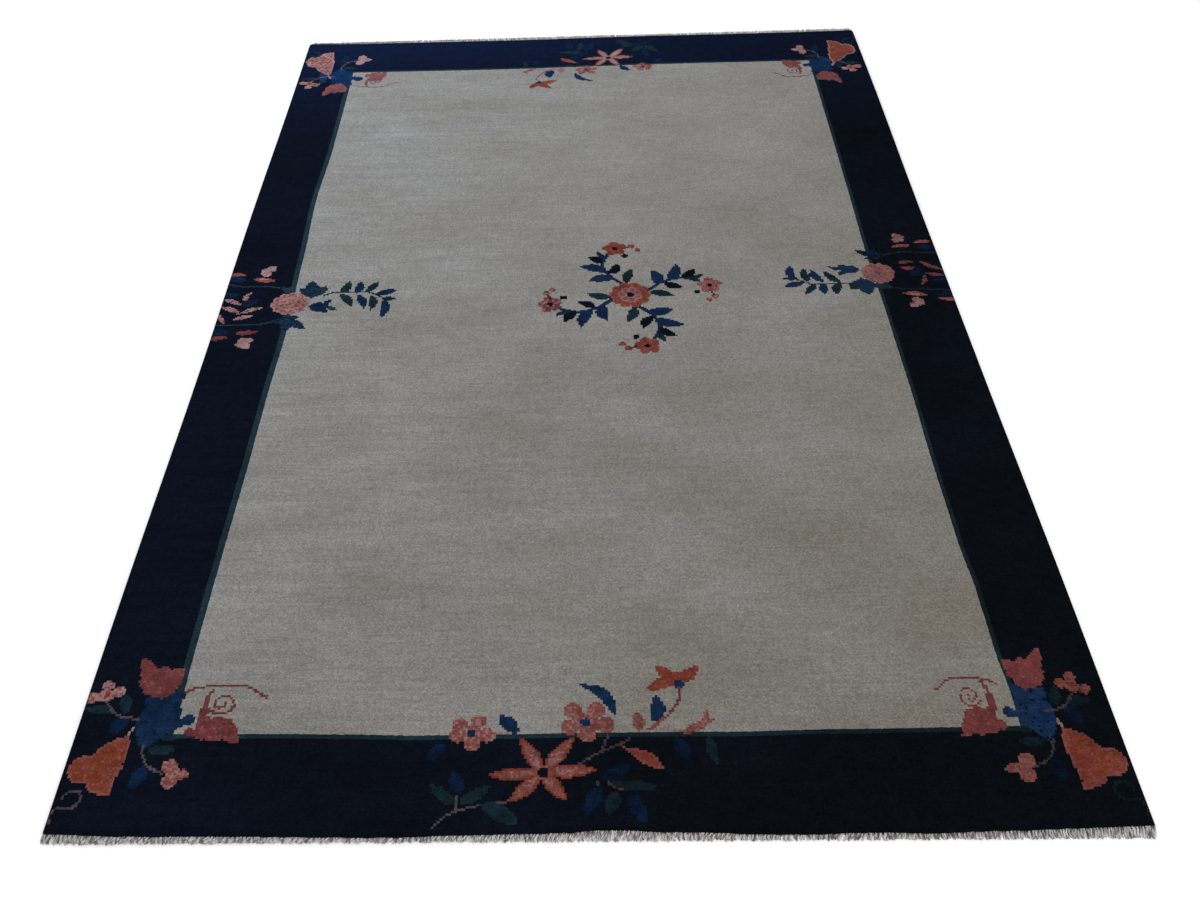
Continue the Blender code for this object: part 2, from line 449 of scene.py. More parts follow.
CORNER_PARTS = {
    (1, 1): {},
    (-1, 1): {
        "sprig": (20, -2, 0.92, 1.0), "rose": (7, 0, 0.88, 1.0), "mass": (0, 0, 0.92, 1.0),
        "tongue": (-6, 0, 0.9, 0.9), "fruit": (2, -2, 1.04, 1.0), "lobes": (-3, -2, 1.0, 1.0),
        "mound": (-5, 0, 0.82, 1.08), "stalk": (-5, 0, 0.9, 1.0), "scroll": (-2, 0, 0.74, 1.0),
    },
    (1, -1): {
        "sprig": (7, -7, 1.0, 1.0), "leaf": (6, 7, 0.9, 1.65), "rose": (5, -4, 0.84, 0.9),
        "mass": (0, -3, 0.98, 0.95), "tongue": (0, 10, 1.25, 1.25), "fruit": (1, -3, 1.0, 1.34),
        "lobes": (3, -8, 1.0, 1.2), "mound": (6, 16, 0.72, 1.2), "stalk": (4, 12, 0.8, 0.62),
        "scroll": (0, -3, 0.9, 1.0),
    },
    (-1, -1): {
        "sprig": (13, -25, 1.0, 1.0), "leaf": (8, 0, 1.0, 1.2), "rose": (5, -4, 0.86, 0.9),
        "mass": (0, -4, 0.95, 0.92), "tongue": (-5, 0, 0.8, 0.8), "fruit": (4, 2, 0.96, 1.26),
        "lobes": (2, 0, 0.86, 1.1), "mound": (-9, 7, 0.64, 1.0), "stalk": (-8, 2, 0.8, 0.8),
        "scroll": (-14, 2, 0.76, 1.0),
    },
}


def corner_spray(chart, flip):
    corner = (-FIELD_SIDE * flip[0], FIELD_NEAR if flip[1] > 0 else FIELD_FAR)
    s = Spray(chart, corner, 0.18, flip, parts=CORNER_PARTS[flip])
    # leaves about the blossom and the fruit
    s.part("sprig", (-115, 55)).paint("green", (-80, 37, -91, 72, 19), (-99, 42, -145, 44, 17))
    s.part("leaf", (-86, 16)).paint("blue" if flip == (1, -1) else "indigo", (-77, 33, -96, 0, 24))
    # the blue leaf mass
    part = s.part("mass", (-30, 30))
    part.paint("green", (-32, -26, 10, -24, 18), (-20, 2, 2, -9, 15))
    blue_mass = [
        (-38, -24, -31, 78, 52), (-44, 57, 14), (-20, 60, 17), (-14, 38, 18), (-13, 14, 15),
        (-46, 27, 13), (-30, 10, 20), (-16, 56, 4, 76, 17),
    ]
    part.paint("blue", *blue_mass, mottle="indigo", share=0.06)
    part = s.part("tongue", (17, 25))
    tongue = [part.line([(-5, 24), (8, 22), (16, 25)], 9), (17, 27, 10), (7, 19, 5)]
    part.paint("blue", *tongue)
    # the jagged rose blossom
    rose_blossom = [
        (-48, 84, -78, 138, 27), (-42, 91, 24), (-42, 88, -7, 117, 25, 0, 0.6),
        (-42, 92, -41, 124, 26, 0, 0.6), (-42, 92, -7, 94, 26, 0, 0.55),
        (-38, 94, -30, 64, 42, 0, 0.5), (-40, 94, -75, 94, 38, 0, 0.55),
        (-40, 96, -62, 70, 26, 0, 0.6),
    ]
    s.part("rose", (-43, 94)).paint("rose", *rose_blossom, mottle="coral", share=0.10)
    # the small pink blossom and its stem
    part = s.part("sprig", (-115, 55))
    part.paint("tan", part.line([(-118, 60), (-106, 45), (-95, 35), (-82, 30), (-60, 27)], 4.1))
    flower, second = ("coral", "tan") if flip == (-1, 1) else ("pink", "coral")
    blossom(part, (-119, 69), [(-121, 86), (-101, 75), (-138, 64)], 9.5, flower, second, "orange")
    # the orange fruit
    part = s.part("fruit", (-98, -52))
    fruit = [
        (-98, -62, -66, -2, 46, 0, 0.4), (-92, -55, 29), (-118, -60, 23), (-88, -78, 20),
        (-76, -42, 14), (-92, -80, -69, -102, 20),
    ]
    if flip == (1, -1):
        part.paint("coral", *fruit, rim="pink", mottle="pink", share=0.45)
    else:
        part.paint("orange", *fruit, rim="coral" if flip[1] > 0 else "pink", mottle="coral", share=0.16)
    part.paint("cream", part.line([(-68, 1), (-65, 6), (-62, 12)], 4.4))
    # the pale curl in the corner
    curl = [
        (-135, -106), (-132, -98), (-124, -94), (-113, -97), (-110, -107), (-114, -118), (-128, -122),
        (-140, -122), (-145, -130), (-145, -146),
    ]
    s.paint("tan" if flip == (1, 1) else "green", s.line(curl, 4.0))
    # the three-lobed blossom under the stem
    part = s.part("lobes", (12, -64))
    part.paint("indigo", (-30, -52, -41, -90, 23))
    part.paint("tan", part.line([(-40, -20), (-37, -36), (-25, -53), (-2, -64)], 4.1))
    lobes = [(7, -53, 12), (11, -76, 12), (17, -65, 10), (27, -65, 8), (20, -64, 40, -67, 13)]
    if flip[1] > 0:
        part.paint("coral", *lobes, mottle="pink", share=0.4)
    else:
        part.paint("pink", *lobes, mottle="cream", share=0.3)
    # the rose-red mound on the guard line, and its stalk
    part = s.part("mound", (56, 6))
    mound = [
        (24, 4, 8), (42, 20, 12), (42, 5, 13), (61, 18, 15), (63, 4, 15), (77, 22, 8), (80, 6, 14),
        (70, 10, 98, -12, 20, 0, 0.5), part.disc((50, 0), 8, stretch=1.7),
    ]
    part.paint("rose", *mound, mottle="coral", share=0.18)
    part = s.part("stalk", (38, 50))
    part.paint("rose", part.line([(38, 22), (35, 50), (38, 66), (43, 80)], 6.0), (36, 22, 39, 62, 13))
    # its scrolls
    part = s.part("scroll", (64, 60))
    scroll = [(3, 76), (18, 83), (40, 86), (58, 88), (82, 88), (99, 83), (114, 73), (129, 65)]
    part.paint("rose", part.line(scroll, 4.0))
    spiral = [
        (42, 47), (50, 40), (63, 37), (76, 42), (80, 54), (74, 65), (62, 68), (52, 62), (51, 52), (59, 47),
        (67, 51), (66, 57),
    ]
    part.paint("rose", part.line(spiral, 3.9))


def star_lily(s, centre, petal, rim, light):
    """The large six-petalled lily of the end sprays."""
    tips = [(-101, -6), (-24, -5), (9, -60), (-36, -108), (-115, -110), (-146, -66)]
    for tip in tips:
        s.paint(petal, s.petal(centre, tip, 22, belly=0.48), rim=rim, mottle=light, share=0.15)
    for tip in tips:
        middle = (0.62 * tip[0] + 0.38 * centre[0], 0.62 * tip[1] + 0.38 * centre[1])
        s.paint(light, s.petal(centre, middle, 8.5, belly=0.55), mottle=petal, share=0.45)
    s.paint(petal, s.disc(centre, 13), mottle=light, share=0.3)
    s.paint("navy", s.disc(centre, 8))


END_TABLES = {
    1: {},
    -1: {
        "across": [
            (-250, -268), (-210, -224), (-166, -173), (-118, -118), (-73, -68), (-34, -22), (-16, -6),
            (17, 33), (51, 71), (82, 97), (117, 134), (147, 173), (250, 276),
        ],
        "along": [
            (-250, -245), (-135, -130), (-111, -110), (-55, -63), (0, 0), (76, 87), (113, 124), (250, 261),
        ],
    },
}
END_PARTS = {
    1: {},
    -1: {
        "first": (-3, 9, 0.90, 0.86), "second": (0, 4, 0.80, 0.80), "crescent": (-6, 6, 1.0, 1.0),
        "lily": (-6, 8, 0.95, 1.0), "star": (-4, 9, 1.0, 0.97), "cluster": (-17, -4, 1.0, 1.0),
        "drop": (-27, -2, 0.9, 0.95),
    },
}


def end_spray(chart, flip):
    """Its landmark is the middle of the field's end. u runs along the end and v runs into the field."""
    landmark = (0.0, FIELD_NEAR if flip[1] > 0 else FIELD_FAR)
    s = Spray(chart, landmark, 0.25, flip, parts=END_PARTS[flip[1]], **END_TABLES[flip[1]])
    # stems
    stem = "tan" if flip[1] > 0 else "green"
    s.paint(stem, s.line([(-221, -149), (-206, -135), (-189, -124), (-160, -116), (-112, -107)], 4.0))
    s.paint(stem, s.line([(-189, -98), (-189, -124)], 4.0))
    s.paint(stem, s.line([(-19, -52), (2, -38), (24, -26), (50, -14), (56, -6)], 4.0))
    s.paint(stem, s.line([(17, -26), (24, -8), (27, 3)], 3.9))
    s.paint("cream", s.line([(-142, 5), (-108, 5)], 4.0), s.line([(85, 8), (108, 6), (131, 3)], 4.0))
    # dark leaves in the border
    s.paint("indigo", (-211, -12, -237, -41, 18), (-186, -95, -194, -57, 21))
    s.paint("indigo", (121, -6, 139, -46, 20))
    green_leaves = [
        (-191, -112, -227, -79, 19), (-184, -112, -142, -83, 20), (-155, -112, -101, -148, 26, 3),
        (168, -6, 177, -53, 15),
    ]
    s.paint("green", *green_leaves)
    part = s.part("cluster", (40, -95))
    part.paint(stem, part.line([(10, -78), (11, -88)], 3.9))
    part.paint(stem, part.line([(24, -81), (36, -88), (50, -93)], 3.9))
    cluster = [(16, -76, 58, -50, 20), (13, -86, -8, -134, 22), (55, -98, 73, -149, 22)]
    part.paint("indigo", *cluster)
    part.paint("green", (28, -82, 94, -89, 16), (35, -96, 23, -135, 21))
    # blossoms
    places = [(-191, 19), (-164, 23), (-150, 0), (-172, -13), (-193, 0)]
    blossom(s.part("first", (-173, 5)), (-173, 4), places, 12, "coral", "pink", "blue")
    places = [(-25, 40), (10, 40), (22, 15), (-4, -1), (-30, 12)]
    blossom(s.part("second", (-5, 18)), (-7, 19), places, 13.5, "coral", "pink", "blue")
    part = s.part("star", (-68, -63))
    if flip[1] > 0:
        star_lily(part, (-68, -63), "coral", "orange", "pink")
    else:
        star_lily(part, (-68, -63), "pink", "coral", "cream")
    s.part("drop", (74, -38)).paint("orange", (43, -22, 102, -59, 20, 3, 0.62), rim="coral")
    # what stands in the field
    s.paint("blue", (-106, 3, -134, 36, 22))
    s.part("crescent", (10, 60)).paint("blue", (36, 31, -17, 87, 19, -14))
    part = s.part("lily", (126, 98))
    lily = [
        (131, 88, 97, 120, 19), (130, 88, 164, 119, 20, -2), (129, 97, 11),
        (134, 86, 84, 77, 19, -5, 0.58),
    ]
    part.paint("orange", *lily, mottle="coral", share=0.2)
    part.paint("blue", (132, 85, 8))
    s.paint("rose", s.line([(133, 78), (130, 58), (120, 40), (106, 24)], 4.2))
    s.paint("coral", s.line([(106, 24), (97, 16), (84, 6)], 5.5))
    s.paint("blue", (91, 18, 96, 67, 23, -5))
    s.paint("coral", (70, 3, 68, 38, 19), mottle="pink", share=0.6)
    s.paint("coral", (134, 0, 180, 25, 16), (166, 16, 170, 39, 10), mottle="pink", share=0.5)


def peony(s, centre):
    """A full round flower of light-rimmed petals."""
    for count, radius, petal in ((11, 28, 12.5), (8, 17, 10), (4, 7, 7)):
        for place in ring_of(centre, radius, count, 0.3 * radius):
            s.paint("coral", s.disc(place, petal), rim="pink", mottle="pink", share=0.35)
    s.paint("rose", s.disc(centre, 4))


SIDE_PARTS = {
    1: {"peony": (3, 1, 1.0, 0.94)},
    -1: {
        "branch": (-24, 5, 0.98, 0.9), "tip": (-22, 16, 0.95, 0.8), "upper": (-9, 3, 1.0, 0.95),
        "peony": (-2, 5, 0.88, 0.88), "right": (-8, 2, 1.05, 0.85), "lower": (-9, 1, 0.82, 0.76),
        "top edge": (0, -9, 1.0, 0.9), "low edge": (3, 4, 0.9, 0.9),
    },
}


def side_spray(chart, landmark, side):
    """Its landmark is on the field's side edge. u runs into the field, and v to the far end on the left."""
    s = Spray(chart, landmark, 0.235, (side, side), parts=SIDE_PARTS[side])
    at_edge = "indigo" if side < 0 else "blue"
    # the branch that lies in the field
    part = s.part("branch", (130, 30))
    stem = [(62, 28), (80, 36), (96, 37), (121, 36), (154, 36), (172, 27), (185, 17)]
    part.paint("green", part.line(stem, 4.6))
    green_leaves = [
        (99, 34, 112, 78, 21, -3), (150, 34, 176, 74, 18), (96, 32, 124, -15, 20, 4),
        (162, 26, 165, -28, 19, 5), (184, 13, 218, 11, 14),
    ]
    blue_leaves = [(131, 33, 136, 76, 20, -3), (133, 28, 151, -21, 20, 4), (172, 27, 217, 43, 20)]
    part.paint("green", *green_leaves)
    part.paint("blue", *blue_leaves)
    s.part("tip", (190, -10)).paint("blue", (191, 9, 190, -53, 21, 5))
    # jagged leaves about the peony
    part = s.part("upper", (38, 45))
    part.paint("teal", (40, 20, 64, 60, 23, 0, 0.6))
    upper_leaf = [(37, 16, 30, 80, 34, 0, 0.5), (36, 22, 9, 53, 20, 0, 0.5), (41, 38, 15)]
    part.paint("blue", *upper_leaf, mottle="teal", share=0.4)
    s.paint("teal", (-7, 40, -32, 60, 17), (-11, 52, 10))
    part = s.part("right", (58, -10))
    part.paint("blue", part.disc((54, -12), 16, stretch=1.15), (34, -9, 64, -12, 24))
    part.paint("blue", (62, -10, 80, 14, 14), (56, -14, 76, -32, 17))
    part.paint("teal", (66, -8, 97, -26, 12))
    part = s.part("lower", (0, -65))
    lower_leaf = [
        (-4, -56, 17), (-6, -54, 37, -86, 22), (-4, -48, 20, -45, 13), (-6, -60, -2, -92, 22),
        (-6, -57, -36, -58, 20),
    ]
    part.paint("blue" if side > 0 else "indigo", *lower_leaf, mottle="teal", share=0.35)
    peony(s.part("peony", (-9, 0)), (-9, 0))
    # the half flower and its leaves at the rug's edge
    s.paint("teal", s.line([(-145, 72), (-121, 66), (-83, 63), (-52, 62), (-36, 58)], 4.4))
    s.paint("teal", s.line([(-144, -68), (-108, -68), (-75, -69), (-52, -66), (-32, -58)], 4.4))
    s.paint(at_edge, (-104, -5, -73, 18, 20), (-152, 37, -116, 34, 18), (-96, 8, 9))
    narrow_petals = [
        (-101, 12, -93, 43, 12, 4), (-106, -2, -150, 20, 13, -3), (-104, -32, -151, -4, 12, -3),
        (-106, -31, -60, -12, 12, 3), (-114, -50, -74, -36, 12), (-132, -62, -148, -30, 11),
    ]
    right_petals = [
        (-104, 14, -92, 48, 10, 4), (-108, 8, -150, 16, 10, -2), (-104, -36, -150, 0, 12, -3),
        (-92, -14, -58, -16, 11, 5), (-92, -32, -58, -26, 11, -5),
    ]
    for narrow in narrow_petals if side > 0 else right_petals:
        s.paint("pink" if side > 0 else "rose", narrow, mottle="rose" if side > 0 else "tan", share=0.3)
    part = s.part("top edge", (-90, 108))
    part.paint(at_edge, (-152, 97, -110, 86, 21))
    part.paint("coral", (-96, 92, -46, 84, 15, -2), (-152, 110, -113, 103, 12, 2))
    part.paint("cream", (-84, 91, -60, 88, 6))
    upper = [(-62, 128, 10), (-75, 121, 10), (-70, 109, 9.5), (-78, 112, 7)]
    part.paint("pink", *upper, mottle="cream", share=0.45)
    part = s.part("low edge", (-90, -110))
    part.paint(at_edge, (-152, -89, -115, -91, 21))
    flower = "rose" if side > 0 else "coral"
    part.paint(flower, (-102, -98, -56, -92, 15), (-152, -114, -113, -109, 13))
    lower = [(-84, -122, 9), (-72, -120, 9), (-85, -133, 9), (-74, -138, 10)]
    part.paint("pink", *lower, mottle="coral" if side < 0 else "cream", share=0.35)


def centre_medallion(chart, centre):
    """A round floral medallion: a rosette with four leafy stems that sweep out to blossoms."""
    for quarter in range(4):
        s = Spray(chart, centre, 0.215, turn=quarter * math.pi / 2)
        s.paint("blue", s.line([(34, 10), (66, 40), (108, 56), (146, 44)], 9.0))
        s.paint("blue", (58, 34, 50, 86, 27, -6), (82, 50, 104, 106, 26, -6))
        s.paint("navy", (74, 42, 112, 22, 22, -4), (112, 56, 140, 88, 22, -4))
        s.paint("green", (40, 8, 92, -8, 22, 3), (128, 50, 158, 66, 14))
        flower = ("coral", "orange", "rose", "orange")[quarter]
        second = ("pink", "coral", "pink", "coral")[quarter]
        blossom(s, (168, 28), ring_of((168, 28), 16, 5, 0.4 + quarter), 11, flower, second, "navy")
        s.paint(flower, (176, -10, 8), (162, -22, 7), mottle=second, share=0.3)
        s.paint("navy", s.line([(168, 8), (174, -4)], 4.0), (140, 6, 7))
    s = Spray(chart, centre, 0.215)
    for place in ring_of((0, 0), 31, 10):
        s.paint("orange", s.disc(place, 13), rim="coral", mottle="coral", share=0.25)
    for place in ring_of((0, 0), 17, 7, 0.4):
        s.paint("coral", s.disc(place, 9), rim="pink")
    s.paint("navy", (0, 0, 8))


def draw_chart():
    chart = Chart()
    # the guard line is three knots wide on the left and two elsewhere
    guard = 2 * KNOT
    chart.block("teal", -FIELD_SIDE - 3 * KNOT, FIELD_SIDE + guard, FIELD_NEAR - guard, FIELD_FAR + guard)
    chart.block("ivory", -FIELD_SIDE, FIELD_SIDE, FIELD_NEAR, FIELD_FAR)
    for across in (1, -1):
        for along in (1, -1):
            corner_spray(chart, (across, along))
    end_spray(chart, (1, 1))
    end_spray(chart, (-1, -1))
    side_spray(chart, (-FIELD_SIDE, -0.005), 1)
    side_spray(chart, (FIELD_SIDE, 0.068), -1)
    centre_medallion(chart, (0.098, 0.004))
    return chart


# Meshes

def add_piece(name, points, faces, material, normals=None):
    """A mesh piece of the rug, smooth-shaded, that rides on the rug's only body."""
    mesh = bpy.data.meshes.new(name)
    mesh.from_pydata(points, [], faces)
    mesh.shade_smooth()
    if normals is not None:
        mesh.normals_split_custom_set_from_vertices(normals)
    mesh.materials.append(material)
    piece = bpy.data.objects.new(name, mesh)
    bpy.context.scene.collection.objects.link(piece)
    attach(piece, "root")
    return piece


def plan_grid(columns, rows):
    """The corners of a grid over the rug's straight-edged plan."""
    across = np.linspace(-0.5, 0.5, columns + 1) * RUG_WIDTH
    along = np.linspace(-0.5, 0.5, rows + 1) * RUG_LENGTH
    return np.meshgrid(across, along)


def grid_faces(index):
    """The faces of a grid, from the numbers of its points."""
    return np.stack([index[:-1, :-1], index[:-1, 1:], index[1:, 1:], index[1:, :-1]], axis=2)


def pile_points():
    """The corners of every knot, over the whole rug."""
    x, y = plan_grid(COLUMNS, ROWS)
    to_side = RUG_WIDTH / 2 - np.abs(x)
    to_end = RUG_LENGTH / 2 - np.abs(y)
    inset = np.minimum(to_side, to_end)
    z = np.interp(inset, PILE_PROFILE["inset"], PILE_PROFILE["height"])
    waves = 0.0003 * np.sin(2.3 * y + 0.6) * np.cos(2.9 * x - 0.4) + 0.0001 * np.sin(5.1 * y - 3.7 * x)
    z = z + ramp(inset, WAVE_INSET) * waves
    # the weave's drift, greatest at the field's edges and nothing at the rug's own
    drift_x = np.where(x < 0, eased(SIDE_DRIFT, "along", "left", y), eased(SIDE_DRIFT, "along", "right", y))
    drift_y = np.where(y < 0, eased(END_DRIFT, "across", "near", x), eased(END_DRIFT, "across", "far", x))
    drift_x = drift_x * (ramp(to_side, SIDE_BORDER) * ramp(np.abs(x), DRIFT_FROM_X))
    drift_y = drift_y * (ramp(to_end, DRIFT_END) * ramp(np.abs(y), DRIFT_FROM_Y))
    x = x + drift_x
    y = y + drift_y
    at_end = 1.0 - ramp(RUG_LENGTH / 2 + y, SPILL_LENGTH)
    x, y = outline.place(x, y)
    # each knot sits a little differently
    dice = np.random.default_rng(SEEDS["pile"])
    tufts = TUFT_REACH * slow_noise(dice, x, TUFT_WIDTH) + dice.uniform(-TUFT_JITTER, TUFT_JITTER, x.shape)
    y = y - at_end * (eased(NEAR_SPILL, "across", "out", x) + tufts)
    loose = (inset > KNOT / 2).astype(float)
    x = x + loose * dice.uniform(-KNOT_SLIP, KNOT_SLIP, x.shape)
    y = y + loose * dice.uniform(-KNOT_SLIP, KNOT_SLIP, y.shape)
    z = z + loose * np.clip(dice.normal(0.0, KNOT_LIFT, z.shape), -2 * KNOT_LIFT, 2 * KNOT_LIFT)
    return np.stack([x, y, z], axis=2)


def surface_normals(points):
    """Normals of a grid of points."""
    across = np.gradient(points, axis=1)
    along = np.gradient(points, axis=0)
    normals = np.cross(across, along)
    return normals / np.linalg.norm(normals, axis=2, keepdims=True)


def make_pile(chart, materials):
    """A mesh of knots for each yarn, and two for the ivory of the field."""
    points = pile_points()
    normals = surface_normals(points).reshape(-1, 3)
    points = points.reshape(-1, 3)
    quads = grid_faces(np.arange(len(points)).reshape(ROWS + 1, COLUMNS + 1))
    row = np.arange(ROWS)[:, None] * np.ones(COLUMNS, int)[None, :]
    pieces = []
    for number, yarn in enumerate(chart.names):
        halves = {"": np.ones((ROWS, COLUMNS), bool)}
        if yarn == "ivory":
            halves = {"_near": row < ROWS // 2, "_far": row >= ROWS // 2}
        for half, within in halves.items():
            chosen = quads[(chart.yarn == number) & within]
            used, faces = np.unique(chosen, return_inverse=True)
            faces = faces.reshape(-1, 4)
            piece = add_piece(f"pile_{yarn}{half}", points[used], faces, materials[yarn], normals[used])
            pieces.append(piece)
    return pieces


# Materials

def yarn_colour(srgb):
    """The linear base colour that shows as these sRGB values under the studio's light."""
    linear = []
    for value in srgb:
        share = value / 255
        linear.append(share / 12.92 if share < 0.04045 else ((share + 0.055) / 1.055) ** 2.4)
    return (*[value / LIGHT_LEVEL for value in linear], 1.0)


class Graph:
    """Adds nodes to a material and links them."""

    def __init__(self, name):
        self.material = bpy.data.materials.new(name)
        self.material.use_nodes = True
        self.tree = self.material.node_tree
        self.shader = self.tree.nodes["Principled BSDF"]

    def add(self, kind, settings=None, **inputs):
        node = self.tree.nodes.new(kind)
        for key, value in (settings or {}).items():
            setattr(node, key, value)
        for key, value in inputs.items():
            self.put(node, key.replace("_", " "), value)
        return node

    def put(self, node, key, value):
        socket = node.inputs[int(key)] if key.isdigit() else node.inputs[key]
        if isinstance(value, bpy.types.NodeSocket):
            self.tree.links.new(value, socket)
        else:
            socket.default_value = value

    def math(self, operation, a, b, clamp=False):
        node = self.add("ShaderNodeMath", {"operation": operation, "use_clamp": clamp})
        self.put(node, "0", a)
        self.put(node, "1", b)
        return node.outputs[0]

    def product(self, *values):
        result = values[0]
        for value in values[1:]:
            result = self.math("MULTIPLY", result, value)
        return result

    def spread(self, value, low, high, from_low=0.3, from_high=0.7):
        node = self.add("ShaderNodeMapRange", {"clamp": True}, Value=value)
        limits = {"From Min": from_low, "From Max": from_high, "To Min": low, "To Max": high}
        for key, amount in limits.items():
            node.inputs[key].default_value = amount
        return node.outputs["Result"]

    def stretched(self, place, scale):
        node = self.add("ShaderNodeMapping", Vector=place)
        node.inputs["Scale"].default_value = scale
        return node.outputs["Vector"]

    def noise(self, place, scale, detail=2.0):
        node = self.add("ShaderNodeTexNoise", Vector=place, Scale=scale, Detail=detail)
        return node.outputs["Fac"]

    def blend(self, first, second, share):
        """A colour between two others."""
        mix = self.add("ShaderNodeMix", {"data_type": "RGBA"})
        self.tree.links.new(share, mix.inputs["Factor"])
        for key, colour in (("A", first), ("B", second)):
            if isinstance(colour, bpy.types.NodeSocket):
                self.tree.links.new(colour, mix.inputs[key])
            else:
                mix.inputs[key].default_value = colour
        return mix.outputs["Result"]

    def base_colour(self, colour, tone):
        """Base colour, darkened or lightened by a tone."""
        scaled = self.add("ShaderNodeVectorMath", {"operation": "SCALE"}, Scale=tone)
        self.tree.links.new(colour, scaled.inputs[0])
        self.tree.links.new(scaled.outputs[0], self.shader.inputs["Base Color"])

    def surface(self, roughness, specular, sheen=0.0):
        self.shader.inputs["Roughness"].default_value = roughness
        self.shader.inputs["Specular IOR Level"].default_value = specular
        self.shader.inputs["Sheen Weight"].default_value = sheen

    def relief(self, height, strength, distance):
        bump = self.add("ShaderNodeBump", Strength=strength, Distance=distance, Height=height)
        self.tree.links.new(bump.outputs["Normal"], self.shader.inputs["Normal"])


def make_wool(name, near, far, speckle, mottle, sheen):
    """Cut wool pile: knot by knot tone, weft-wise streaks of abrash and painted sheen, painted sheen in
    patches towards the far left and far end, painted shade in the crevices between tufts, fibres and a soft
    sheen.
    """
    graph = Graph(f"wool_{name}")
    place = graph.add("ShaderNodeTexCoord").outputs["Object"]
    x, y, _ = graph.add("ShaderNodeSeparateXYZ", Vector=place).outputs

    def noise(kind):
        stretch, scale, detail = WOOL_NOISE[kind]
        return graph.noise(graph.stretched(place, stretch), scale, detail)

    # painted sheen, stronger towards the far left, in patches
    to_left = graph.spread(x, *PAINTED_SHEEN_ACROSS, -HALF_ACROSS, HALF_ACROSS)
    to_far = graph.spread(y, *PAINTED_SHEEN_ALONG, -HALF_ALONG, HALF_ALONG)
    patch = graph.spread(noise("patch"), -PAINTED_SHEEN_PATCH, PAINTED_SHEEN_PATCH)
    painted_sheen = graph.math("ADD", graph.math("ADD", to_left, to_far), patch, clamp=True)
    # streaks along the wefts, abrash and painted sheen, strongest on the left
    depth = graph.spread(x, *STREAK_DEPTH, *STREAK_SPAN)
    both = graph.math("SUBTRACT", graph.math("ADD", noise("streak"), noise("fine streak")), 1.0)
    streaks = graph.math("ADD", 1.0, graph.product(both, STREAK_GAIN, depth))
    rows = graph.spread(noise("rows"), *ROW_TONE)
    ribs = graph.spread(noise("ribs"), *RIB_TONE)
    blotch = graph.spread(graph.noise(place, BLOTCH_SCALE, 3.0), 1.0 - mottle, 1.0 + mottle)
    # tufts and their fibres
    tufts = graph.add("ShaderNodeTexVoronoi", Vector=place, Scale=TUFTS_PER_KNOT / KNOT, Randomness=0.8)
    tuft_tone = graph.add("ShaderNodeSeparateColor", Color=tufts.outputs["Color"]).outputs[0]
    tuft_tone = graph.spread(tuft_tone, 1.0 - speckle, 1.0 + speckle, 0.0, 1.0)
    # painted shade in the crevices between tufts, and painted light on their middles
    crevice_shade = graph.spread(tufts.outputs["Distance"], *CREVICE_SHADE_TONE, *CREVICE_SHADE_SPAN)
    fibre = noise("fibre")
    tone = graph.product(streaks, rows, ribs, blotch, tuft_tone, crevice_shade, graph.spread(fibre, *FIBRE_TONE))
    # the far colour carries the painted sheen, and the painted sheen's share blends towards it
    colour = graph.blend(yarn_colour(near), yarn_colour(far), painted_sheen)
    # more painted sheen towards the far end, strongest on the left
    if name in FAR_END_SHEEN_COLOURS:
        along = graph.spread(y, 0.0, 1.0, *FAR_END_SHEEN_SPAN)
        across = graph.spread(x, *FAR_END_SHEEN_ACROSS, -HALF_ACROSS, HALF_ACROSS)
        share = graph.product(along, along, across)
        colour = graph.blend(colour, yarn_colour(FAR_END_SHEEN_COLOURS[name]), share)
    graph.base_colour(colour, tone)
    height = graph.math("ADD", graph.product(tufts.outputs["Distance"], -0.6), graph.product(fibre, 0.6))
    graph.relief(height, 0.8, PILE_RELIEF)
    graph.surface(0.95, 0.0, sheen)
    return graph.material


def make_cotton(name, light, dark):
    """Twisted cotton: uneven off-white, darker in patches drawn out along the strands, with fine fibres."""
    graph = Graph(name)
    place = graph.add("ShaderNodeTexCoord").outputs["Object"]
    patch = graph.noise(graph.stretched(place, COTTON_STRETCH), COTTON_PATCH_SCALE, 2.0)
    fibre = graph.noise(place, COTTON_FIBRE_SCALE, 3.0)
    colour = graph.blend(yarn_colour(dark), yarn_colour(light), graph.spread(patch, 0.0, 1.0, 0.38, 0.62))
    graph.base_colour(colour, graph.spread(fibre, *COTTON_TONE))
    graph.relief(fibre, 0.4, COTTON_RELIEF)
    graph.surface(0.9, 0.1, 0.05)
    return graph.material


# The foundation under the pile, and the overcast sides

def make_foundation(material):
    """A closed slab of weave from the floor up to the pile's base, with raised wefts underneath."""
    x, y = plan_grid(*FOUNDATION_GRID)
    x, y = outline.place(x * (1 - FOUNDATION_INSET[0]), y * (1 - FOUNDATION_INSET[1]))
    ribs = RIB_HEIGHT * (np.arange(len(x))[:, None] % 2) * np.ones_like(x)
    top = np.stack([x, y, np.full(x.shape, FOUNDATION_TOP)], axis=2).reshape(-1, 3)
    under = np.stack([x, y, ribs], axis=2).reshape(-1, 3)
    index = np.arange(len(top)).reshape(x.shape)
    lid = grid_faces(index).reshape(-1, 4)
    rim = np.concatenate([index[0, :], index[1:, -1], index[-1, -2::-1], index[-2:0:-1, 0]])
    following = np.roll(rim, -1)
    wall = np.stack([rim + len(top), following + len(top), following, rim], axis=1)
    faces = np.concatenate([lid, lid[:, ::-1] + len(top), wall])
    return add_piece("foundation", np.concatenate([top, under]), faces, material)


